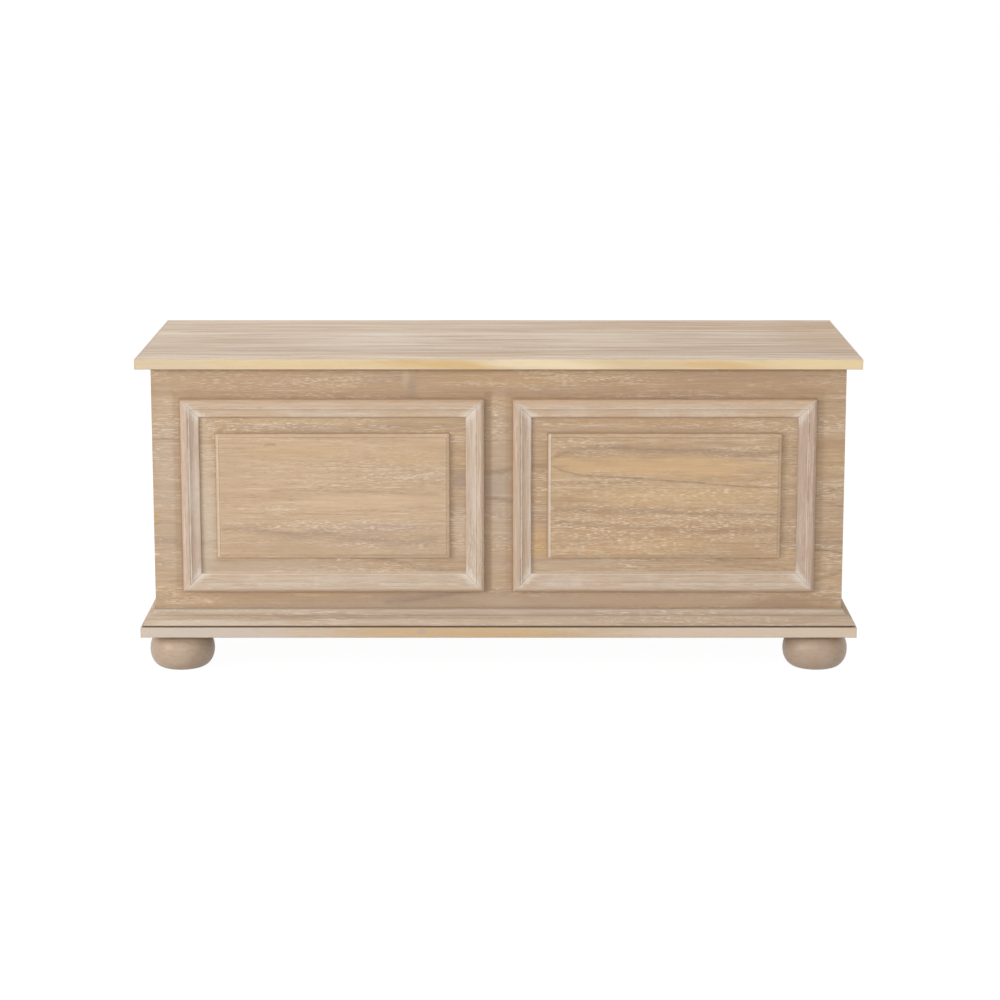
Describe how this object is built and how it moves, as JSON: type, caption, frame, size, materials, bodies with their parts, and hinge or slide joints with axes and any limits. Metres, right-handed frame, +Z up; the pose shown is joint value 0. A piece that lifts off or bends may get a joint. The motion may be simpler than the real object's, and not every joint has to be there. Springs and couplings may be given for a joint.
{
  "type": "blanket chest",
  "caption": "Low wooden blanket chest on bun feet, with a hinged flat lid, folding lid stays and two framed raised panels on the front.",
  "frame": {"origin": "centre of the bounding box at floor level, under the middle of the chest", "axes": "+X towards the chest's right end as seen from the front, along its length; +Y towards the back; +Z up; the front faces -Y"},
  "size_m": [1.1, 0.45, 0.49],
  "materials": {
    "board_wood": "limed and waxed, open pores filled white",
    "moulding_wood": "limed and waxed, whiter in the quirks",
    "edging_wood": "pale lipping, satin",
    "foot_wood": "turned, satin lacquer",
    "steel": "zinc plated",
    "brass": "brass plated, satin",
    "bumper": "soft pad"
  },
  "bodies": {
    "carcass": {"base_board": "board_wood", "base_edging_front": "edging_wood", "base_edging_back": "edging_wood", "base_edging_left": "edging_wood", "base_edging_right": "edging_wood", "front_left_foot": "foot_wood", "front_right_foot": "foot_wood", "back_left_foot": "foot_wood", "back_right_foot": "foot_wood", "front_left_foot_bolt": "steel", "front_right_foot_bolt": "steel", "back_left_foot_bolt": "steel", "back_right_foot_bolt": "steel", "front_left_foot_tee_nut": "steel", "front_right_foot_tee_nut": "steel", "back_left_foot_tee_nut": "steel", "back_right_foot_tee_nut": "steel", "front_panel": "board_wood", "back_panel": "board_wood", "left_side_panel": "board_wood", "right_side_panel": "board_wood", "left_frame_bottom": "moulding_wood", "left_frame_right": "moulding_wood", "left_frame_top": "moulding_wood", "left_frame_left": "moulding_wood", "right_frame_bottom": "moulding_wood", "right_frame_right": "moulding_wood", "right_frame_top": "moulding_wood", "right_frame_left": "moulding_wood", "left_raised_panel": "board_wood", "right_raised_panel": "board_wood", "base_moulding_front": "moulding_wood", "base_moulding_left": "moulding_wood", "base_moulding_right": "moulding_wood", "left_lid_bumper": "bumper", "right_lid_bumper": "bumper", "left_hinge_body_leaf": "brass", "left_hinge_pin": "brass", "right_hinge_body_leaf": "brass", "right_hinge_pin": "brass", "left_stay_side_bracket": "steel", "right_stay_side_bracket": "steel"},
    "lid": {"lid_panel": "board_wood", "lid_edging_front": "edging_wood", "lid_edging_back": "edging_wood", "lid_edging_left": "edging_wood", "lid_edging_right": "edging_wood", "left_hinge_lid_leaf": "brass", "right_hinge_lid_leaf": "brass", "left_stay_lid_bracket": "steel", "right_stay_lid_bracket": "steel"},
    "left_lower_arm": {"left_stay_lower_arm": "steel", "left_stay_elbow_rivet": "steel"},
    "right_lower_arm": {"right_stay_lower_arm": "steel", "right_stay_elbow_rivet": "steel"},
    "left_upper_arm": {"left_stay_upper_arm": "steel"},
    "right_upper_arm": {"right_stay_upper_arm": "steel"}
  },
  "joints": [
    {"name": "lid_hinge", "type": "hinge", "parent": "carcass", "child": "lid", "pos_m": [0, 0.21865, 0.47035], "axis": [-1, 0, 0], "range_deg": [0, 100]},
    {"name": "left_side_pivot", "type": "hinge", "parent": "carcass", "child": "left_lower_arm", "pos_m": [-0.50745, 0.14865, 0.26035], "axis": [-1, 0, 0], "range_deg": [0, 100]},
    {"name": "right_side_pivot", "type": "hinge", "parent": "carcass", "child": "right_lower_arm", "pos_m": [0.50745, 0.14865, 0.26035], "axis": [-1, 0, 0], "range_deg": [0, 100]},
    {"name": "left_lid_pivot", "type": "hinge", "parent": "lid", "child": "left_upper_arm", "pos_m": [-0.50565, 0.05365, 0.463], "axis": [-1, 0, 0], "range_deg": [-100, 0]},
    {"name": "right_lid_pivot", "type": "hinge", "parent": "lid", "child": "right_upper_arm", "pos_m": [0.50565, 0.05365, 0.463], "axis": [-1, 0, 0], "range_deg": [-100, 0]}
  ],
  "couplings": [
    {"joint": "left_side_pivot", "follows": "lid_hinge", "ratio": 1},
    {"joint": "right_side_pivot", "follows": "lid_hinge", "ratio": 1},
    {"joint": "left_lid_pivot", "follows": "lid_hinge", "ratio": -1},
    {"joint": "right_lid_pivot", "follows": "lid_hinge", "ratio": -1}
  ]
}
